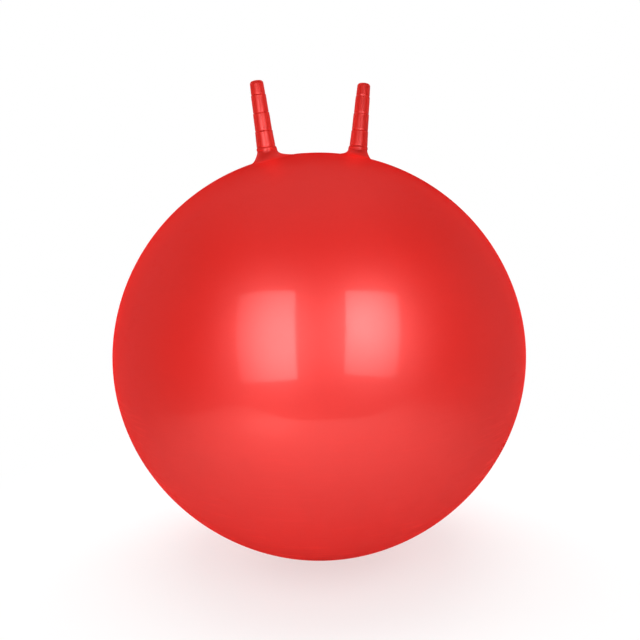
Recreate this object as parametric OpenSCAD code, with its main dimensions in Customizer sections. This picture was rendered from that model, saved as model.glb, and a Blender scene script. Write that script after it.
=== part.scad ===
// Hopper ball: an inflated vinyl ball with two stepped horns to hold and a stopper valve behind them.
// The origin is on the floor under the middle of the ball. +Z is up, the horns stand along X
// and the valve is behind them, towards +Y. Lengths are in millimetres and angles in degrees.

/* [Ball] */
// Diameter of the upper half of the inflated ball
ball_d = 500; // [400:5:650]
// Height that the lower half loses under the ball's own weight
ball_sag = 7; // [0:0.5:20]
// Thickness of the vinyl skin
skin_wall = 1.1; // [0.8:0.1:3]
// Radius of the flat patch that the ball rests on
patch_r = 30; // [15:1:60]

/* [Horns] */
// Distance between the two horns where they leave the ball
horn_spacing = 116.8; // [90:0.2:160]
// Lean of each horn away from upright
horn_splay = 7; // [0:0.5:14]
// Number of steps along a horn
step_count = 3; // [1:1:6]
// Length of each segment between two steps
segment_l = 20.5; // [14:0.5:30]
// Length of the tip above the last step
tip_l = 16.5; // [10:0.5:25]
// Diameter of the horn at its tip
tip_d = 15.7; // [12:0.1:20]
// Diameter of the horn at its foot
foot_d = 21.9; // [20:0.1:30]
// Widening of the horn across each step
step_w = 0.5; // [0:0.1:1]
// How far the rounded ledge of a step stands out
ledge_w = 0.3; // [0.1:0.1:1]
// Height of a ledge
ledge_h = 3.2; // [1.5:0.1:6]
// Rounding of the tip's edge
tip_round = 3.8; // [1:0.1:5]
// Slope of the tip's domed top where it meets that rounding
tip_dome = 14; // [5:1:40]
// Height of the bead round the foot of a horn
bead_h = 3.6; // [2:0.1:6]
// How far the bead stands out from the horn
bead_w = 0.5; // [0.2:0.1:1.5]
// Thickness of the horn's wall
horn_wall = 2.4; // [1.5:0.1:3.5]

/* [Horn roots] */
// How far the hollow flare reaches out from the horn over the ball
flare_w = 17; // [8:0.5:24]
// How far the flare reaches up the horn
flare_h = 8.5; // [5:0.1:14]
// Straight length of the root above its flare
neck_l = 0.8; // [0.4:0.1:4]
// Thickness of the root's wall
root_wall = 2.4; // [1.5:0.1:4]
// Thickness of the flare's edge where it lies on the ball
flare_edge_t = 0.4; // [0.3:0.1:1]

/* [Valve seat] */
// Distance along the skin from the crown back to the valve
valve_offset = 45; // [0:1:90]
// How far the seat's flange reaches over the skin
flange_w = 10.5; // [6:0.5:16]
// Thickness of the flange
flange_t = 1; // [0.6:0.1:2]
// Width of the raised rim round the flange
rim_w = 4; // [2:0.5:5]
// Height of the rim above the flange
rim_h = 1; // [0.3:0.1:2]
// How far the lip inside the ball reaches under the skin
lip_w = 7; // [3:0.5:12]
// Thickness of the lip
lip_t = 1.8; // [1:0.1:3]
// Wall between the stopper's recess and the skin
seat_neck_wall = 3; // [2:0.5:6]
// Depth of the sleeve below the skin's outer face
sleeve_l = 16; // [13:0.5:30]
// Wall of the sleeve
sleeve_wall = 2.6; // [1.5:0.1:4]

/* [Stopper] */
// Diameter of the stopper's head
head_d = 18; // [15:0.5:24]
// Thickness of the head at its edge
head_t = 2; // [1:0.1:3]
// Rise of the head's domed top
head_dome = 0.6; // [0.2:0.1:1.5]
// Rounding of the head's edge
head_round = 0.8; // [0.3:0.1:0.9]
// Diameter of the stopper's sealing rings
stem_d = 10; // [8:0.5:12]
// Length of the stem below the head
stem_l = 13; // [9:0.5:20]
// Depth of the grooves between the sealing rings
groove_w = 0.9; // [0.3:0.1:2]
// Taper of the stem's end
stem_chamfer = 1.5; // [0.5:0.1:2]
// Radius of the notch that lets a fingernail lift the head
notch_r = 2.6; // [1.5:0.1:3]

/* [Clearances] */
// Gap between the skin and the pieces that are bonded to it
bond_gap = 0.15; // [0.1:0.05:0.3]
// Gap between the ball and the flexing horn roots
flex_gap = 0.3; // [0.2:0.05:0.5]
// Radial gap between the stopper's rings and the bore
stem_gap = 0.06; // [0.02:0.01:0.1]
// Radial gap round the stopper's head
head_gap = 0.5; // [0.2:0.1:1]

/* [Hidden] */
$fn = 96;

LEFT = -1;
RIGHT = 1;
VINYL_RED = [0.86, 0.18, 0.16];
STOPPER_RED = [0.74, 0.13, 0.12];

// Overrun of every cut past the face that it opens
overrun = 4;

// Outline of the ball: it keeps its crown radius above sag_from and eases to the bottom radius at sag_to
sag_from = 10;
sag_to = -60;
outline_steps = 72;
ball_r = ball_d / 2;
bottom_r = ball_r - ball_sag;
centre_z = sqrt(bottom_r * bottom_r - patch_r * patch_r);

// Places of the horns: each axis leaves the ball at horn_x, the root stands square to the skin there
horn_x = horn_spacing / 2;
root_lean = asin(horn_x / ball_r);
horn_z = centre_z + ball_r * cos(root_lean);

// Sizes of a horn, measured along its axis from the top of its root
foot_r = foot_d / 2;
tip_r = tip_d / 2;
bead_mid = bead_h / 2;
horn_l = bead_mid + step_count * segment_l + tip_l;
flat_r = tip_r - tip_round;
tip_edge_z = horn_l - tip_round - flat_r * tan(tip_dome / 2);
round_steps = 10;

// Sizes of a root: its flare is a quarter ellipse that leaves the neck upright and thins out along the ball
flare_end = asin(1 - (flex_gap + flare_edge_t) / flare_h);
lean_rise = foot_r * tan(abs(root_lean - horn_splay));
root_h = skin_z(foot_r) - ball_r + flare_h + neck_l + lean_rise;
neck_top = ball_r + root_h + lean_rise + overrun;
root_bore_r = foot_r - root_wall;

// Sizes of the valve, measured from its axis and from the skin's outer face
valve_lean = valve_offset / ball_r * 180 / PI;
head_r = head_d / 2;
stem_r = stem_d / 2;
bore_r = stem_r + stem_gap;
recess_r = head_r + head_gap;
seat_neck_r = recess_r + seat_neck_wall;
flange_r = seat_neck_r + flange_w;
lip_r = seat_neck_r + lip_w;
sleeve_r = bore_r + sleeve_wall;
recess_floor = flange_t - head_t;
ring_count = 3;
ring_l = stem_l / (2 * ring_count);

// Smooth step from 0 to 1
function ease(t) = let (c = min(max(t, 0), 1)) c * c * (3 - 2 * c);

// Distance from the ball's centre to its outer face at an elevation
function skin_r(elevation) = ball_r - ball_sag * ease((sag_from - elevation) / (sag_from - sag_to));

// Elevation of the rim of the flat patch, at a depth below the outer face
function patch_elevation(depth) = -asin((centre_z - depth) / (bottom_r - depth));

// Half outline of the ball at a depth below its outer face, from the patch up to the crown
function ball_outline(depth) =
    let (start = patch_elevation(depth))
    concat([[0, depth]], [
        for (i = [0 : outline_steps])
            let (elevation = start + (90 - start) * i / outline_steps, r = skin_r(elevation) - depth)
            [i == outline_steps ? 0 : r * cos(elevation), centre_z + r * sin(elevation)]
    ]);

// Height of the skin above the ball's centre, at a distance from an axis through that centre
function skin_z(x) = sqrt(ball_r * ball_r - x * x);

// Point of the flare, from the neck at turn 0 to the ball at turn 90
function flare_point(turn) =
    let (x = foot_r + flare_w * (1 - cos(turn))) [x, skin_z(x) + flare_h * (1 - sin(turn))];

// Point of an arc
function arc_point(centre, r, angle) = centre + r * [cos(angle), sin(angle)];

// Point at a distance along the skin from an axis through the ball's centre, and a height above the skin
function over_skin(along, height) =
    let (angle = along / ball_r * 180 / PI) (ball_r + height) * [sin(angle), cos(angle)];

// Height of a step above the foot of the horn, and the horn's mean radius at a height
function step_u(k) = bead_mid + k * segment_l;
function taper_r(u) = foot_r + (tip_r - foot_r) * u / horn_l;

// Point of a ledge, from its lower end at rise 0 to its upper edge at rise 1; it stands out most near the top
function ledge_point(k, rise) =
    [taper_r(step_u(k)) + step_w * (1 - 2 * rise) / 2 + ledge_w * sin(180 * rise * rise),
     step_u(k) - ledge_h * (1 - rise)];

module at_horn(side) {
    translate([side * horn_x, 0, horn_z]) rotate([0, side * horn_splay, 0]) children();
}

module at_root(side) {
    translate([0, 0, centre_z]) rotate([0, side * root_lean, 0]) children();
}

module at_valve() {
    translate([0, 0, centre_z]) rotate([-valve_lean, 0, 0]) children();
}

// The airtight vinyl shell, open at the two roots and at the valve
module ball_skin() {
    drill_z = ball_r - skin_wall - overrun;
    drill_l = skin_wall + 2 * overrun;
    color(VINYL_RED) difference() {
        rotate_extrude() polygon(ball_outline(0));
        rotate_extrude() polygon(ball_outline(skin_wall));
        for (side = [LEFT, RIGHT])
            at_root(side) translate([0, 0, drill_z]) cylinder(r = root_bore_r, h = drill_l);
        at_valve() translate([0, 0, drill_z]) cylinder(r = seat_neck_r + bond_gap, h = drill_l);
    }
}

// The soft flared neck that carries a horn and bends when the horn is pulled
module horn_root(side) {
    edge = flare_point(flare_end);
    sole_r = ball_r + flex_gap;
    flare = [for (i = [0 : round_steps]) flare_point(flare_end * i / round_steps)];
    sole = [
        for (i = [0 : round_steps])
            let (x = edge[0] + (root_bore_r - edge[0]) * i / round_steps)
            [x, sqrt(sole_r * sole_r - x * x)]
    ];
    color(VINYL_RED) difference() {
        at_root(side) rotate_extrude()
            polygon(concat([[root_bore_r, neck_top], [foot_r, neck_top]], flare, sole));
        at_horn(side) translate([0, 0, root_h])
            cylinder(r = foot_r + overrun, h = neck_top - ball_r);
    }
}

// A hollow stepped horn with a bead round its foot and a closed, rounded tip
module horn(side) {
    bead = [
        for (i = [0 : round_steps])
            let (turn = 180 * i / round_steps)
            [foot_r + bead_w * sin(turn), bead_mid * (1 - cos(turn))]
    ];
    ledges = [
        for (k = [1 : step_count])
            each [for (i = [0 : round_steps]) ledge_point(k, i / round_steps)]
    ];
    edge_end = 90 - tip_dome;
    edge = [
        for (i = [0 : round_steps])
            arc_point([flat_r, tip_edge_z], tip_round, edge_end * i / round_steps)
    ];
    dome_centre = [0, tip_edge_z - flat_r / tan(tip_dome)];
    dome_r = flat_r / sin(tip_dome) + tip_round;
    dome = [
        for (i = [1 : round_steps - 1])
            arc_point(dome_centre, dome_r, edge_end + tip_dome * i / round_steps)
    ];
    bore = [[0, horn_l], [0, horn_l - horn_wall], [tip_r - horn_wall, horn_l - horn_wall],
            [foot_r - horn_wall, 0]];
    color(VINYL_RED) at_horn(side) translate([0, 0, root_h])
        rotate_extrude() polygon(concat(bead, ledges, edge, dome, bore));
}

// The grommet that is bonded into the skin: a dished flange outside, a lip inside and a sleeve for the stopper
module valve_seat() {
    lip_top = -skin_wall - bond_gap;
    rim = [
        for (i = [0 : round_steps])
            let (turn = 180 * i / round_steps)
            over_skin(flange_r - rim_w * (1 + cos(turn)) / 2, flange_t + rim_h * sin(turn))
    ];
    outline = concat(
        [[bore_r, ball_r + recess_floor], [recess_r, ball_r + recess_floor], [recess_r, ball_r + flange_t]],
        rim,
        [over_skin(flange_r, bond_gap), over_skin(seat_neck_r, bond_gap),
         over_skin(seat_neck_r, lip_top), over_skin(lip_r, lip_top), over_skin(lip_r, lip_top - lip_t),
         [sleeve_r, ball_r + lip_top - lip_t], [sleeve_r, ball_r - sleeve_l], [bore_r, ball_r - sleeve_l]]
    );
    color(VINYL_RED) at_valve() difference() {
        rotate_extrude() polygon(outline);
        translate([0, recess_r, ball_r + recess_floor]) cylinder(r = notch_r, h = head_t + rim_h);
    }
}

// The stopper: a low domed head that sits flush in the seat, and a stem with sealing rings
module valve_plug() {
    floor_z = ball_r + recess_floor;
    end_z = floor_z - stem_l;
    groove_r = stem_r - groove_w;
    rings = [
        for (k = [0 : ring_count - 1])
            let (low = end_z + stem_chamfer + 2 * k * ring_l, high = min(low + ring_l, floor_z))
            each [[stem_r, low], [stem_r, high], [groove_r, high],
                  [groove_r, min(high + ring_l, floor_z)]]
    ];
    edge = [
        for (i = [0 : round_steps])
            arc_point([head_r - head_round, floor_z + head_t - head_round], head_round, 90 * i / round_steps)
    ];
    dome_steps = [1 : round_steps];
    dome = [
        for (i = dome_steps)
            let (share = i / round_steps)
            [(head_r - head_round) * (1 - share), floor_z + head_t + head_dome * sin(90 * share)]
    ];
    color(STOPPER_RED) at_valve() rotate_extrude()
        polygon(concat([[0, end_z], [stem_r - stem_chamfer, end_z]], rings, [[head_r, floor_z]], edge, dome));
}

ball_skin();
horn_root(LEFT);  // left_horn_root
horn_root(RIGHT);  // right_horn_root
horn(LEFT);  // left_horn
horn(RIGHT);  // right_horn
valve_seat();
valve_plug();
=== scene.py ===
"""Hopper ball: a glossy red vinyl ball with two stepped horns to hold and a stopper valve behind them."""

import math

import bmesh
import bpy
from mathutils import Matrix, Vector


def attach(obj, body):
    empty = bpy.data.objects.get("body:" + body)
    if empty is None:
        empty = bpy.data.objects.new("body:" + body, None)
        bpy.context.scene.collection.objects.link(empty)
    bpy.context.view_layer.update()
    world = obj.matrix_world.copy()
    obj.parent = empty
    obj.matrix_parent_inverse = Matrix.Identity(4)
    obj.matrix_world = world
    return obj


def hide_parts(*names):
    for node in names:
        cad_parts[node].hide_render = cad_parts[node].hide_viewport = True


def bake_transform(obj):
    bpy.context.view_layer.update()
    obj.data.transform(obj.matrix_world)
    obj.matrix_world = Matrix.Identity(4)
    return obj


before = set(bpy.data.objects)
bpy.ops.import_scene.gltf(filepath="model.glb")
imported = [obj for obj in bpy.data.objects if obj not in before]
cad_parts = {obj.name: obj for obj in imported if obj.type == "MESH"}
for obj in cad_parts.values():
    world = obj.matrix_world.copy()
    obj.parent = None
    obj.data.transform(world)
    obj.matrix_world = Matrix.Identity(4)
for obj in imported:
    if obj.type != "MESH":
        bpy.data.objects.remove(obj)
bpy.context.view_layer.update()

# Sizes of the part, in metres and degrees
BALL_R = 0.24999
BALL_SAG = 0.007
SAG_FROM, SAG_TO = 10.0, -60.0
PATCH_R = 0.030
SKIN_WALL = 0.0011
BALL_RINGS, BALL_SIDES = 112, 160

HORN_X = 0.0584
HORN_SPLAY = 7.0
STEP_COUNT = 3
SEGMENT_L = 0.0205
TIP_L = 0.0165
TIP_R = 0.00785
TIP_ROUND = 0.0038
TIP_DOME = 14.0
FOOT_R = 0.01095
STEP_W = 0.0005
LEDGE_W = 0.0003
LEDGE_H = 0.0032
BEAD_H = 0.0036
BEAD_W = 0.0005
CREASE = 0.0003
CREASE_H = 0.0012
CREASE_SHARES = (0.25, 0.5)
HORN_WALL = 0.0024
HORN_SIDES = 72
RING_STEPS = 14
TIP_STEPS, DOME_STEPS = 10, 6
HORN_SHARP = 60

FLARE_W = 0.017
FLARE_H = 0.0085
FLARE_INWARD = 0.005
FOOT_FLARE = 0.00025
FLARE_TUCK = 0.0003
FLARE_STEPS = 32
FOOT_INWARD = 0.0012
FOOT_FADE_SHARE = 1.5
NECK_L = 0.0008
ROOT_WALL = 0.0024
ROOT_SIDES = 96

VALVE_OFFSET = 0.045
HEAD_R = 0.009
HEAD_T = 0.002
HEAD_DOME = 0.0006
HEAD_ROUND = 0.0008
HEAD_GAP = 0.0005
HEAD_SOFT = 0.0003
HEAD_ROUND_STEPS, HEAD_DOME_STEPS = 8, 12
STEM_R = 0.005
STEM_L = 0.013
STEM_GAP = 0.00006
STEM_CHAMFER = 0.0015
GROOVE_W = 0.0009
RING_COUNT = 3
RING_SOFT_W, RING_SOFT_H = 0.0003, 0.0005
STOPPER_SIDES = 72
SEAT_NECK_WALL = 0.003
FLANGE_W = 0.0105
FLANGE_T = 0.001
RIM_W = 0.004
RIM_H = 0.001
RIM_STEPS = 16
LIP_W = 0.007
LIP_T = 0.0018
SLEEVE_L = 0.016
SLEEVE_WALL = 0.0026
BOND_GAP = 0.00015
NOTCH_R = 0.0026
NOTCH_SPREAD_SHARE = 1.6
SEAT_SOFT = 0.0004
SEAT_SIDES = 96
VALVE_SHARP = 40

# Places that follow from the sizes
CENTRE_Z = math.sqrt((BALL_R - BALL_SAG) ** 2 - PATCH_R ** 2)
BALL_CENTRE = Vector((0, 0, CENTRE_Z))
ROOT_LEAN = math.degrees(math.asin(HORN_X / BALL_R))
HORN_Z = CENTRE_Z + BALL_R * math.cos(math.radians(ROOT_LEAN))
ROOT_H = (math.sqrt(BALL_R ** 2 - FOOT_R ** 2) - BALL_R + FLARE_H + NECK_L
          + FOOT_R * math.tan(math.radians(ROOT_LEAN - HORN_SPLAY)))
BEAD_MID = BEAD_H / 2
HORN_L = BEAD_MID + STEP_COUNT * SEGMENT_L + TIP_L
VALVE_LEAN = VALVE_OFFSET / BALL_R
BORE_R = STEM_R + STEM_GAP
RECESS_R = HEAD_R + HEAD_GAP
SEAT_NECK_R = RECESS_R + SEAT_NECK_WALL
FLANGE_R = SEAT_NECK_R + FLANGE_W
LIP_R = SEAT_NECK_R + LIP_W
SLEEVE_R = BORE_R + SLEEVE_WALL
RECESS_FLOOR = FLANGE_T - HEAD_T

TAPER = (FOOT_R - TIP_R) / HORN_L
STRETCH_TAPER = (TAPER * SEGMENT_L - STEP_W) / (SEGMENT_L - LEDGE_H - CREASE_H)

SIDES = {"left": -1, "right": 1}


def ease(t):
    """Smooth step from 0 to 1."""
    c = min(max(t, 0.0), 1.0)
    return c * c * (3 - 2 * c)


def skin_radius(elevation):
    """Distance from the ball's centre to its outer face at an elevation in degrees."""
    return BALL_R - BALL_SAG * ease((SAG_FROM - elevation) / (SAG_FROM - SAG_TO))


def arc(centre, radius, start, end, steps):
    """Points of an arc in an outline, with angles in degrees."""
    turns = [math.radians(start + (end - start) * i / steps) for i in range(steps + 1)]
    return [(centre[0] + radius * math.cos(t), centre[1] + radius * math.sin(t)) for t in turns]


def over_skin(along, height):
    """Outline point at a distance along the skin from the valve's axis, and a height above the skin."""
    angle = along / BALL_R
    return ((BALL_R + height) * math.sin(angle), (BALL_R + height) * math.cos(angle))


# Modelling helpers

def spun(outline, steps, closed=False):
    """A mesh that an outline of (radius, height) points sweeps in a full turn round Z."""
    bm = bmesh.new()
    points = [bm.verts.new((r, 0, z)) for r, z in outline]
    pairs = list(zip(points, points[1:]))
    if closed:
        pairs.append((points[-1], points[0]))
    edges = [bm.edges.new(pair) for pair in pairs]
    bmesh.ops.spin(bm, geom=points + edges, cent=(0, 0, 0), axis=(0, 0, 1), dvec=(0, 0, 0),
                   angle=2 * math.pi, steps=steps, use_merge=True)
    bmesh.ops.remove_doubles(bm, verts=bm.verts, dist=1e-7)
    bmesh.ops.recalc_face_normals(bm, faces=bm.faces)
    return bm


def piece_from(bm, name, finish, sharp_above=50):
    """The finished object of a mesh, smooth but for edges sharper than an angle."""
    mesh = bpy.data.meshes.new(name)
    bm.to_mesh(mesh)
    bm.free()
    mesh.shade_smooth()
    mesh.set_sharp_from_angle(angle=math.radians(sharp_above))
    mesh.materials.append(finish)
    piece = bpy.data.objects.new(name, mesh)
    bpy.context.scene.collection.objects.link(piece)
    return piece


def lean(degrees, axis):
    """A turn about an axis."""
    return Matrix.Rotation(math.radians(degrees), 4, axis)


def horn_frame(side):
    """Places a shape made along Z from the ball's skin on a horn's axis."""
    return Matrix.Translation((side * HORN_X, 0, HORN_Z)) @ lean(side * HORN_SPLAY, "Y")


def root_frame(side):
    """Places a shape made along Z from the ball's centre square to the skin under a horn."""
    return Matrix.Translation(BALL_CENTRE) @ lean(side * ROOT_LEAN, "Y")


def valve_frame():
    """Places a shape made along Z from the ball's centre on the valve's axis."""
    return Matrix.Translation(BALL_CENTRE) @ lean(-math.degrees(VALVE_LEAN), "X")


# Reds and gloss of the finishes

VINYL_REDS = [(0.705, 0.0135, 0.0085, 1.0), (0.675, 0.0122, 0.0075, 1.0)]
# The next two are the skin's vinyl made lighter: painted light on the horns' flares and the horns, which
# the lamps light less than the ball.
ROOT_LIT_REDS = [(0.860, 0.0170, 0.0110, 1.0), (0.820, 0.0155, 0.0098, 1.0)]
HORN_LIT_REDS = [(0.980, 0.022, 0.014, 1.0), (0.940, 0.020, 0.012, 1.0)]
STOPPER_REDS = [(0.560, 0.019, 0.014, 1.0), (0.500, 0.016, 0.012, 1.0)]
SHEEN_RED = (1.0, 0.008, 0.005, 1.0)

SKIN_ROUGH = 0.48
SKIN_IOR = 1.78
SKIN_PEARL = 0.25
SKIN_COAT = 0.5
SKIN_COAT_ROUGH = 0.09
SKIN_SHEEN = 0.55
SHEEN_ROUGH = 0.35
FLOW_DULL = 0.6
HORN_ROUGH = 0.48
HORN_IOR = 1.65
HORN_PEARL = 0.35
HORN_COAT = 0.68
HORN_COAT_ROUGH = 0.3
VALVE_ROUGH = 0.40
VALVE_COAT = 0.4
SEAT_PEARL = 0.20
SEAT_COAT_ROUGH = 0.2
STOPPER_COAT_ROUGH = 0.25

# Noises, as features per metre, detail, roughness and stretch, with the heights they give in metres

CLOUD = (9.0, 3.0, 0.55)
GRAIN = (420.0, 2.0, 0.6)
GRAIN_SHARE = 0.25
TONE_RANGE = (0.35, 0.65)
SCUFF = (38.0, 4.0, 0.7, (1.0, 1.0, 3.0))
SCUFF_RANGE = (0.52, 0.78)
SCUFF_ROUGH = 0.07
FLOW_LINE = (14.0, 2.0, 0.6, (1.0, 1.0, 22.0))
FLOW_LINE_RANGE = (0.52, 0.62)
FLOW_PATCH = (18.0, 1.0, 0.5)
FLOW_PATCH_RANGE = (0.42, 0.58)
FLOW_FADE = 0.05
SKIN_SWELL, SKIN_SWELL_H = (11.0, 1.0, 0.4), 0.0011
SKIN_PEEL, SKIN_PEEL_H = (260.0, 1.0, 0.5), 0.000010
HORN_SWELL, HORN_SWELL_H = (70.0, 1.0, 0.4), 0.00004
HORN_PEEL, HORN_PEEL_H = (700.0, 1.0, 0.5), 0.000002
MOULD_GRAIN, MOULD_GRAIN_H = (900.0, 2.0, 0.5), 0.000008


# Finishes

class Value:
    """A socket of a node tree. Sums and products of values add Math nodes."""

    def __init__(self, finish, socket):
        self.finish = finish
        self.socket = socket

    def _math(self, operation, first, second):
        return self.finish.node("ShaderNodeMath", {"operation": operation}, {0: first, 1: second})

    def __add__(self, other):
        return self._math("ADD", self, other)

    def __radd__(self, other):
        return self._math("ADD", other, self)

    def __sub__(self, other):
        return self._math("SUBTRACT", self, other)

    def __rsub__(self, other):
        return self._math("SUBTRACT", other, self)

    def __mul__(self, other):
        return self._math("MULTIPLY", self, other)

    def __rmul__(self, other):
        return self._math("MULTIPLY", other, self)


class Finish:
    """A node tree that is being painted: any node comes from its type, settings and sockets."""

    def __init__(self, tree):
        self.tree = tree

    def put(self, node, sockets):
        """Links values to a node's sockets, and sets the others."""
        for key, value in sockets.items():
            if isinstance(value, Value):
                self.tree.links.new(value.socket, node.inputs[key])
            else:
                node.inputs[key].default_value = value

    def node(self, kind, settings, sockets, output=0):
        """One output of a new node."""
        node = self.tree.nodes.new(kind)
        for key, value in settings.items():
            setattr(node, key, value)
        self.put(node, sockets)
        return Value(self, node.outputs[output])

    def where(self):
        """Object coordinates."""
        return self.node("ShaderNodeTexCoord", {}, {}, "Object")

    def away(self, where, point):
        """Distance of a place from a point."""
        return self.node("ShaderNodeVectorMath", {"operation": "DISTANCE"}, {0: where, 1: point}, "Value")

    def ray(self, kind):
        """1 for rays of a kind, and 0 for others."""
        return self.node("ShaderNodeLightPath", {}, {}, "Is %s Ray" % kind)

    def noise(self, scale, detail, roughness, stretch=(1, 1, 1)):
        """Noise between about 0 and 1, with scale in features per metre."""
        place = self.node("ShaderNodeMapping", {}, {"Vector": self.where(), "Scale": stretch})
        return self.node("ShaderNodeTexNoise", {}, {
            "Vector": place, "Scale": scale, "Detail": detail, "Roughness": roughness})

    def span(self, value, low, high, to_low=0.0, to_high=1.0, shape="SMOOTHSTEP"):
        """A value taken from one range to another, and kept inside it."""
        return self.node("ShaderNodeMapRange", {"interpolation_type": shape}, {
            "Value": value, "From Min": low, "From Max": high, "To Min": to_low, "To Max": to_high})

    def mix(self, share, first, second):
        """Colour between two colours."""
        return self.node("ShaderNodeMix", {"data_type": "RGBA"}, {0: share, 6: first, 7: second}, 2)


def vinyl(name, reds, roughness, gloss, heights, dull=None):
    """Glossy soft vinyl: two near reds, scuffs in the gloss, and a face that is never quite even."""
    material = bpy.data.materials.new(name)
    material.use_nodes = True
    finish = Finish(material.node_tree)
    shader = material.node_tree.nodes["Principled BSDF"]
    finish.put(shader, gloss)

    cloud = finish.noise(*CLOUD)
    grain = finish.noise(*GRAIN)
    tone = finish.span(cloud * (1 - GRAIN_SHARE) + grain * GRAIN_SHARE, *TONE_RANGE)
    scuff = finish.span(finish.noise(*SCUFF), *SCUFF_RANGE)
    raised = [value * amount for value, amount in heights(finish)]
    bump = finish.node("ShaderNodeBump", {}, {
        "Strength": 1.0, "Distance": 1.0, "Height": sum(raised[1:], raised[0])})
    finish.put(shader, {
        "Base Color": finish.mix(tone, reds[1], reds[0]),
        "Roughness": roughness + scuff * SCUFF_ROUGH,
        "Normal": bump,
    })
    if dull:
        finish.put(shader, {"Coat Weight": gloss["Coat Weight"] * (1 - dull(finish))})
    return material


def flow_lines(finish):
    """Short dull lines along the lower half's parallels, in patches, where the vinyl ran in the mould."""
    line = finish.span(finish.noise(*FLOW_LINE), *FLOW_LINE_RANGE)
    patch = finish.span(finish.noise(*FLOW_PATCH), *FLOW_PATCH_RANGE)
    height_z = finish.node("ShaderNodeSeparateXYZ", {}, {"Vector": finish.where()}, "Z")
    return line * patch * finish.span(height_z, CENTRE_Z, CENTRE_Z - FLOW_FADE, 0.0, FLOW_DULL)


def skin_heights(finish):
    """Slow swells of the blown skin and its orange peel, in metres."""
    return [(finish.noise(*SKIN_SWELL), SKIN_SWELL_H), (finish.noise(*SKIN_PEEL), SKIN_PEEL_H)]


def horn_heights(finish):
    """Slight unevenness of the moulded horns, in metres."""
    return [(finish.noise(*HORN_SWELL), HORN_SWELL_H), (finish.noise(*HORN_PEEL), HORN_PEEL_H)]


def stopper_heights(finish):
    """Fine moulding grain of the stopper and its seat, in metres."""
    return [(finish.noise(*MOULD_GRAIN), MOULD_GRAIN_H)]


SKIN_GLOSS = {
    "IOR": SKIN_IOR, "Metallic": SKIN_PEARL, "Coat Weight": SKIN_COAT, "Coat Roughness": SKIN_COAT_ROUGH,
    "Sheen Weight": SKIN_SHEEN, "Sheen Roughness": SHEEN_ROUGH, "Sheen Tint": SHEEN_RED}
HORN_GLOSS = {
    "IOR": HORN_IOR, "Metallic": HORN_PEARL, "Coat Weight": HORN_COAT, "Coat Roughness": HORN_COAT_ROUGH}
SEAT_GLOSS = {
    "IOR": SKIN_IOR, "Metallic": SEAT_PEARL, "Coat Weight": VALVE_COAT, "Coat Roughness": SEAT_COAT_ROUGH}
STOPPER_GLOSS = {"Coat Weight": VALVE_COAT, "Coat Roughness": STOPPER_COAT_ROUGH}
skin_vinyl = vinyl("skin_vinyl", VINYL_REDS, SKIN_ROUGH, SKIN_GLOSS, skin_heights, flow_lines)
# The flares and horns take these lighter reds, which are painted light.
root_lit_vinyl = vinyl("root_lit_vinyl", ROOT_LIT_REDS, SKIN_ROUGH, SKIN_GLOSS, horn_heights)
horn_vinyl = vinyl("horn_vinyl", HORN_LIT_REDS, HORN_ROUGH, HORN_GLOSS, horn_heights)
seat_vinyl = vinyl("seat_vinyl", VINYL_REDS, VALVE_ROUGH, SEAT_GLOSS, stopper_heights)
stopper_plastic = vinyl("stopper_plastic", STOPPER_REDS, VALVE_ROUGH, STOPPER_GLOSS, stopper_heights)


# The ball

def ball_skin():
    """The blown skin, round the valve's axis so that the valve hole is one of its rings, then let sag."""
    hole = (SEAT_NECK_R + BOND_GAP) / BALL_R
    turns = [hole + (math.pi - hole) * (i / BALL_RINGS) for i in range(BALL_RINGS + 1)]
    outline = [(BALL_R * math.sin(t), BALL_R * math.cos(t)) for t in turns[:-1]] + [(0.0, -BALL_R)]
    bm = spun(outline, BALL_SIDES)
    bmesh.ops.transform(bm, matrix=lean(-math.degrees(VALVE_LEAN), "X"), verts=bm.verts)
    for v in bm.verts:
        elevation = math.degrees(math.asin(max(-1.0, min(1.0, v.co.z / v.co.length))))
        v.co = v.co.normalized() * skin_radius(elevation) + BALL_CENTRE
        v.co.z = max(v.co.z, 0.0)
    bmesh.ops.recalc_face_normals(bm, faces=bm.faces)
    piece = piece_from(bm, "ball_skin_blown", skin_vinyl)
    wall = piece.modifiers.new("wall", "SOLIDIFY")
    wall.thickness = SKIN_WALL
    wall.offset = -1
    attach(piece, "ball")
    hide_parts("ball_skin")


# The horns and their roots

def reach_in(v, side, share):
    """Moves a share of a foot's point out on the side that faces the other horn."""
    across = math.hypot(v.co.x, v.co.y)
    facing = max(0.0, -side * v.co.x / across) if across else 0.0
    v.co.x -= side * FOOT_INWARD * share * facing ** 2


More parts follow.
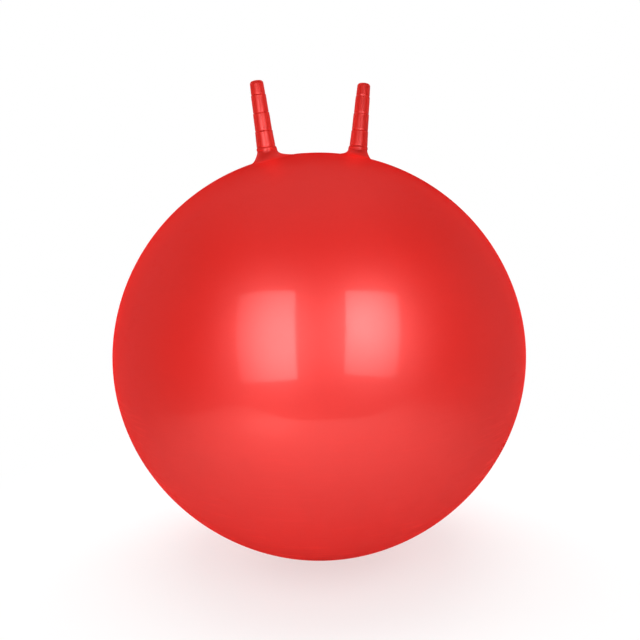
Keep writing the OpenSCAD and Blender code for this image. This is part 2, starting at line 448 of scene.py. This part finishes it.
def horn_root(word, side):
    """The soft flare that runs out of the skin, more so on its inner side, and turns up into the horn."""
    bore_r = FOOT_R - ROOT_WALL
    top = BALL_R + ROOT_H
    flare_h = top - math.sqrt(BALL_R ** 2 - FOOT_R ** 2)
    outline = [(bore_r, math.sqrt((BALL_R - FLARE_TUCK) ** 2 - bore_r ** 2)), (bore_r, top)]
    for i in range(FLARE_STEPS + 1):
        turn = math.pi / 2 * i / FLARE_STEPS
        out = FOOT_R + FOOT_FLARE + FLARE_W * (1 - math.cos(turn))
        rise = flare_h * (1 - math.sin(turn)) - FLARE_TUCK * ease(i / FLARE_STEPS)
        outline.append((out, math.sqrt(BALL_R ** 2 - out ** 2) + rise))
    bm = spun(outline, ROOT_SIDES, closed=True)
    base = Vector((0, 0, BALL_R))
    inward = -side * math.degrees(FLARE_INWARD / BALL_R)
    for v in bm.verts:
        reach_in(v, side, ease((math.hypot(v.co.x, v.co.y) - bore_r) / ROOT_WALL))
        spread = ease((math.hypot(v.co.x, v.co.y) - FOOT_R) / FLARE_W)
        v.co = lean(inward * spread, "Y") @ v.co
        rise = ease((v.co.length - BALL_R) / ROOT_H)
        v.co = lean(-side * (ROOT_LEAN - HORN_SPLAY) * rise, "Y") @ (v.co - base) + base
    bmesh.ops.transform(bm, matrix=root_frame(side), verts=bm.verts)
    piece = piece_from(bm, word + "_horn_flare", root_lit_vinyl, HORN_SHARP)
    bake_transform(piece)
    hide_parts(word + "_horn_root")


def taper_r(u):
    """Radius of the horn's taper at a height over its foot."""
    return FOOT_R - TAPER * u


def crease(r, u):
    """Outline of the fine crease above a ledge or the bead, and the start of the stretch above it."""
    bottom = [(r - CREASE, u + CREASE_H * share) for share in CREASE_SHARES]
    return bottom + [(r, u + CREASE_H), (r - STRETCH_TAPER * CREASE_H, u + CREASE_H * 2)]


def ledge(k):
    """Outline of the rounded ledge at a step of the horn, from the end of the straight stretch below it."""
    u = BEAD_MID + k * SEGMENT_L
    foot = (taper_r(u) + STEP_W / 2, u - LEDGE_H)
    points = [(foot[0] + STRETCH_TAPER * CREASE_H, foot[1] - CREASE_H)]
    for i in range(RING_STEPS + 1):
        rise = i / RING_STEPS
        out = STEP_W * (0.5 - rise) + LEDGE_W * math.sin(math.pi * rise * rise)
        points.append((taper_r(u) + out, u - LEDGE_H * (1 - rise)))
    return points + crease(taper_r(u) - STEP_W / 2, u)


def horn(word, side):
    """A hollow stepped horn: a bead round its foot, a ledge at each step and a rounded tip."""
    outline = []
    for i in range(RING_STEPS + 1):
        turn = math.pi * i / RING_STEPS
        out = FOOT_FLARE * (1 - i / RING_STEPS) + BEAD_W * math.sin(turn)
        outline.append((FOOT_R + out, BEAD_MID * (1 - math.cos(turn))))
    outline += crease(FOOT_R, BEAD_H)
    for k in range(1, STEP_COUNT + 1):
        outline += ledge(k)
    flat_r = TIP_R - TIP_ROUND
    dome = math.radians(TIP_DOME)
    edge_z = HORN_L - TIP_ROUND - flat_r * math.tan(dome / 2)
    dome_z, dome_r = edge_z - flat_r / math.tan(dome), flat_r / math.sin(dome) + TIP_ROUND
    outline += arc((flat_r, edge_z), TIP_ROUND, 0, 90 - TIP_DOME, TIP_STEPS)
    outline += arc((0.0, dome_z), dome_r, 90 - TIP_DOME, 90, DOME_STEPS)[1:-1]
    outline += [(0.0, HORN_L)]
    inside_z = HORN_L - HORN_WALL
    inside = [(0.0, inside_z), (TIP_R - HORN_WALL, inside_z), (FOOT_R - HORN_WALL, 0.0)]
    bm = spun(outline + inside, HORN_SIDES)
    rims = [e for e in bm.edges if e.is_boundary]
    bmesh.ops.bridge_loops(bm, edges=rims)
    bmesh.ops.recalc_face_normals(bm, faces=bm.faces)
    for v in bm.verts:
        outer = ease((math.hypot(v.co.x, v.co.y) - FOOT_R + HORN_WALL) / HORN_WALL)
        reach_in(v, side, outer * max(0.0, 1 - v.co.z / (FOOT_FADE_SHARE * BEAD_H)) ** 2)
    place = horn_frame(side)
    bmesh.ops.transform(bm, matrix=place @ Matrix.Translation((0, 0, ROOT_H)), verts=bm.verts)
    piece = piece_from(bm, word + "_horn_stepped", horn_vinyl, HORN_SHARP)
    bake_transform(piece)
    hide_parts(word + "_horn")


# The valve

def valve_seat():
    """The grommet in the skin: notched recess, flange with a raised rim, inner lip and sleeve."""
    lip_top = -SKIN_WALL - BOND_GAP
    floor_z, top_z = BALL_R + RECESS_FLOOR, BALL_R + FLANGE_T
    outline = [(BORE_R, floor_z - SEAT_SOFT), (BORE_R + SEAT_SOFT, floor_z), (RECESS_R, floor_z),
               (RECESS_R, top_z - SEAT_SOFT), (RECESS_R + SEAT_SOFT, top_z)]
    for i in range(RIM_STEPS + 1):
        turn = math.pi * i / RIM_STEPS
        along = FLANGE_R - RIM_W * (1 + math.cos(turn)) / 2
        outline.append(over_skin(along, FLANGE_T + RIM_H * math.sin(turn)))
    outline += [over_skin(FLANGE_R, BOND_GAP), over_skin(SEAT_NECK_R, BOND_GAP),
                over_skin(SEAT_NECK_R, lip_top),
                over_skin(LIP_R, lip_top), over_skin(LIP_R, lip_top - LIP_T),
                (SLEEVE_R, BALL_R + lip_top - LIP_T), (SLEEVE_R, BALL_R - SLEEVE_L),
                (BORE_R, BALL_R - SLEEVE_L)]
    bm = spun(outline, SEAT_SIDES, closed=True)
    for v in bm.verts:
        across = math.hypot(v.co.x, v.co.y)
        if RECESS_R - SEAT_SOFT < across < RECESS_R + 2 * SEAT_SOFT and v.co.z > floor_z - SEAT_SOFT:
            beside = abs(math.atan2(v.co.x, v.co.y)) * RECESS_R
            reach = NOTCH_R * ease(1 - beside / (NOTCH_SPREAD_SHARE * NOTCH_R))
            v.co.x *= (across + reach) / across
            v.co.y *= (across + reach) / across
    bmesh.ops.transform(bm, matrix=valve_frame(), verts=bm.verts)
    piece = piece_from(bm, "valve_seat_ring", seat_vinyl, VALVE_SHARP)
    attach(piece, "ball")
    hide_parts("valve_seat")


def valve_stopper():
    """The push-in stopper: domed head, three sealing rings and a tapered end."""
    floor_z = BALL_R + RECESS_FLOOR
    end_z = floor_z - STEM_L
    groove_r = STEM_R - GROOVE_W
    ring_l = STEM_L / (2 * RING_COUNT)
    outline = [(0.0, end_z), (STEM_R - STEM_CHAMFER, end_z)]
    for k in range(RING_COUNT):
        low = end_z + STEM_CHAMFER + 2 * k * ring_l
        high = min(low + ring_l, floor_z)
        outline += [(STEM_R - RING_SOFT_W, low), (STEM_R, low + RING_SOFT_H), (STEM_R, high - RING_SOFT_H),
                    (STEM_R - RING_SOFT_W, high), (groove_r, high), (groove_r, min(high + ring_l, floor_z))]
    top_z, flat_r = floor_z + HEAD_T, HEAD_R - HEAD_ROUND
    outline += [(HEAD_R - HEAD_SOFT, floor_z), (HEAD_R, floor_z + HEAD_SOFT)]
    outline += arc((flat_r, top_z - HEAD_ROUND), HEAD_ROUND, 0, 90, HEAD_ROUND_STEPS)
    for i in range(1, HEAD_DOME_STEPS + 1):
        share = i / HEAD_DOME_STEPS
        outline.append((flat_r * (1 - share), top_z + HEAD_DOME * math.sin(math.pi / 2 * share)))
    bm = spun(outline, STOPPER_SIDES)
    bmesh.ops.transform(bm, matrix=valve_frame(), verts=bm.verts)
    piece = piece_from(bm, "valve_stopper", stopper_plastic, VALVE_SHARP)
    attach(piece, "stopper")
    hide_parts("valve_plug")


ball_skin()
for word, side in SIDES.items():
    horn_root(word, side)
    horn(word, side)
valve_seat()
valve_stopper()


# Camera, at the photograph's place

CAMERA_AT = Vector((-0.40945, -0.94403, 0.45009))
CAMERA_AIM = Vector((0.00194, -0.00084, 0.28830))
CAMERA_ROLL = -1.602
CAMERA_LENS = 47.481
SENSOR_W = 36
CLIP_END = 50


def photo_camera():
    """The camera that sees the ball as the photograph does."""
    back = (CAMERA_AT - CAMERA_AIM).normalized()
    right = Vector((0, 0, 1)).cross(back).normalized()
    up = back.cross(right)
    view = Matrix((right, up, back)).transposed().to_4x4()
    data = bpy.data.cameras.new("camera")
    data.lens = CAMERA_LENS
    data.sensor_width = SENSOR_W
    data.clip_end = CLIP_END
    camera = bpy.data.objects.new("camera", data)
    camera.matrix_world = Matrix.Translation(CAMERA_AT) @ view @ lean(CAMERA_ROLL, "Z")
    bpy.context.scene.collection.objects.link(camera)
    bpy.context.scene.camera = camera


photo_camera()


# Lamps, turned from the view and raised in degrees, with sizes in metres and brightness as radiance

VIEW_AZIMUTH = -23.45
LAMP_DISTANCE = 0.55
LAMP_DIM = 0.05
LEFT_LAMP = 6.4
LEFT_TURN, LEFT_RISE, LEFT_ROLL = -21.8, 19.3, 7
LEFT_SIZE = (0.228, 0.348)
LEFT_HOT = (1.0, 0.45)
LEFT_REACH = 1.15
LEFT_TALL = 0.78
RIGHT_LAMP = 6.9
RIGHT_TURN, RIGHT_RISE, RIGHT_ROLL = 22.2, 19.2, -10
RIGHT_SIZE = (0.208, 0.326)
RIGHT_HOT = (0.25, 0.60)
RIGHT_REACH = 1.19
RIGHT_TALL = 1.35

FRONT_FILL = 0.42
FRONT_RISE = 5
FRONT_DISTANCE = 3.0
FRONT_SIZE = (4.0, 4.0)
BACK_LEFT_FILL = 2.9
BACK_RIGHT_FILL = 2.5
BACK_TURN = 120
BACK_RISE = 10
TOP_FILL = 3.1
TOP_RISE = 70
FILL_DISTANCE = 2.4
FILL_SIZE = (3.0, 3.0)
TABLE_FILL = 1.08
TABLE_TINT = (1.0, 0.55, 0.50)
TABLE_SIZE = (1.6, 1.6)
TABLE_DISTANCE = CENTRE_Z - 0.002


def lamp(name, azimuth, elevation, distance, roll, size, radiance):
    """A soft rectangular lamp that faces the ball from a direction, in degrees."""
    a, e = math.radians(azimuth), math.radians(elevation)
    towards = Vector((math.sin(a) * math.cos(e), -math.cos(a) * math.cos(e), math.sin(e)))
    data = bpy.data.lights.new(name, "AREA")
    data.shape = "RECTANGLE"
    data.size, data.size_y = size
    data.energy = radiance * math.pi * size[0] * size[1]
    box = bpy.data.objects.new(name, data)
    facing = towards.to_track_quat("Z", "Y").to_matrix().to_4x4()
    box.matrix_world = Matrix.Translation(BALL_CENTRE + towards * distance) @ facing @ lean(roll, "Z")
    box.visible_camera = False
    bpy.context.scene.collection.objects.link(box)
    return box


def fill(*place):
    """A lamp that doesn't mirror in the gloss."""
    box = lamp(*place)
    box.visible_glossy = False
    return box


def softbox(hot, reach, tall, *place):
    """A lamp whose cloth is brightest at one place, in shares of its width and height, and fades from there
    over a reach in shares of its width, with its height counted as tall widths."""
    data = lamp(*place).data
    data.use_nodes = True
    cloth = Finish(data.node_tree)
    where = cloth.node("ShaderNodeVectorMath", {"operation": "MULTIPLY"}, {
        0: cloth.node("ShaderNodeNewGeometry", {}, {}, "Parametric"), 1: (1.0, tall, 1.0)})
    away = cloth.away(where, (hot[0], hot[1] * tall, 0.0))
    cloth.put(data.node_tree.nodes["Emission"], {
        "Strength": cloth.span(away, 0.0, reach, 1.0, LAMP_DIM, "LINEAR")})


softbox(LEFT_HOT, LEFT_REACH, LEFT_TALL, "left_softbox",
        VIEW_AZIMUTH + LEFT_TURN, LEFT_RISE, LAMP_DISTANCE, LEFT_ROLL, LEFT_SIZE, LEFT_LAMP)
softbox(RIGHT_HOT, RIGHT_REACH, RIGHT_TALL, "right_softbox",
        VIEW_AZIMUTH + RIGHT_TURN, RIGHT_RISE, LAMP_DISTANCE, RIGHT_ROLL, RIGHT_SIZE, RIGHT_LAMP)
fill("front_fill", VIEW_AZIMUTH, FRONT_RISE, FRONT_DISTANCE, 0, FRONT_SIZE, FRONT_FILL)
fill("back_left_fill", VIEW_AZIMUTH - BACK_TURN, BACK_RISE, FILL_DISTANCE, 0, FILL_SIZE, BACK_LEFT_FILL)
fill("back_right_fill", VIEW_AZIMUTH + BACK_TURN, BACK_RISE, FILL_DISTANCE, 0, FILL_SIZE, BACK_RIGHT_FILL)
fill("top_fill", VIEW_AZIMUTH + 180, TOP_RISE, FILL_DISTANCE, 0, FILL_SIZE, TOP_FILL)
table_fill = fill("table_fill", VIEW_AZIMUTH, -90, TABLE_DISTANCE, 0, TABLE_SIZE, TABLE_FILL)
table_fill.data.color = TABLE_TINT


# Floor and background, white to the camera

FLOOR_R = 0.80
FLOOR_SIDES = 256
FLOOR_LOBES = [(-37, 15, 0.45), (46, 15, 0.5)]
FLOOR_GREY = (0.86, 0.86, 0.86, 1)
FLOOR_ROUGH = 0.9
WHITE = (1, 1, 1, 1)
WHITE_SHARE = 0.62
WHITE_RANGE = (0.12, 0.6)
# The pool is painted light: the floor glows only to glossy rays, so the ball shows a painted reflection of
# it, with a brighter painted spot and a red tint for a painted bounce.
POOL = 1.75
POOL_PAINTED_BOUNCE_TINT = (1.0, 0.59, 0.54, 1.0)
POOL_AHEAD, POOL_LEFT = 0.80, 0.08
POOL_RANGE = (0.1, 1.05)
POOL_SIDE = 0.035
POOL_NEAR = 0.02
POOL_NEAR_RANGE = (0.12, 0.8)
POOL_SPOT = 1.1
SPOT_AHEAD, SPOT_LEFT = 0.70, 0.27
SPOT_RANGE = (0.05, 0.25)
STUDIO_DIM = 0.004

ahead = Vector((math.sin(math.radians(VIEW_AZIMUTH)), -math.cos(math.radians(VIEW_AZIMUTH)), 0))
across = Vector((-ahead.y, ahead.x, 0))


def floor_paint():
    """White to the camera but for the ball's shadow, and to the gloss a glowing pool of light before the
    ball: a painted reflection, tinted red as a painted bounce.
    """
    material = bpy.data.materials.new("pale_floor")
    material.use_nodes = True
    nodes = material.node_tree.nodes
    finish = Finish(material.node_tree)
    shader = nodes["Principled BSDF"]
    finish.put(shader, {"Base Color": FLOOR_GREY, "Roughness": FLOOR_ROUGH, "Specular IOR Level": 0.0})

    camera_ray = finish.ray("Camera")
    glossy_ray = finish.ray("Glossy")
    where = finish.where()
    from_ball = finish.away(where, (0, 0, 0))
    from_pool = finish.away(where, ahead * POOL_AHEAD - across * POOL_LEFT)
    from_spot = finish.away(where, ahead * SPOT_AHEAD - across * SPOT_LEFT)
    pool = (finish.span(from_ball, *POOL_NEAR_RANGE, POOL_NEAR, 1.0)
            * finish.span(from_pool, *POOL_RANGE, POOL, POOL_SIDE)
            + finish.span(from_spot, *SPOT_RANGE, POOL_SPOT, 0.0))
    glow = finish.node("ShaderNodeEmission", {}, {
        "Color": finish.mix(glossy_ray, WHITE, POOL_PAINTED_BOUNCE_TINT), "Strength": camera_ray + glossy_ray * pool})
    share = camera_ray * finish.span(from_ball, *WHITE_RANGE, WHITE_SHARE, 1.0) + glossy_ray
    plain = Value(finish, shader.outputs[0])
    surface = finish.node("ShaderNodeMixShader", {}, {0: share, 1: plain, 2: glow})
    finish.put(nodes["Material Output"], {"Surface": surface})
    return material


def pale_floor():
    """A disc whose edge reaches further out in two lobes, as its reflection in the ball shows."""
    bm = bmesh.new()
    bmesh.ops.create_circle(bm, cap_ends=True, segments=FLOOR_SIDES, radius=FLOOR_R)
    for v in bm.verts:
        bearing = math.degrees(math.atan2(v.co.dot(across), v.co.dot(ahead)))
        v.co *= 1 + sum(reach * math.exp(-((bearing - middle) / width) ** 2)
                        for middle, width, reach in FLOOR_LOBES)
    floor = piece_from(bm, "pale_floor", floor_paint())


def background():
    """White to the camera, and a dim studio to everything else."""
    world = bpy.data.worlds.new("studio")
    bpy.context.scene.world = world
    world.use_nodes = True
    room = Finish(world.node_tree)
    camera_ray = room.ray("Camera")
    room.put(world.node_tree.nodes["Background"], {
        "Color": WHITE, "Strength": camera_ray + (1 - camera_ray) * STUDIO_DIM})


pale_floor()
background()
bpy.context.scene.view_settings.view_transform = "Standard"
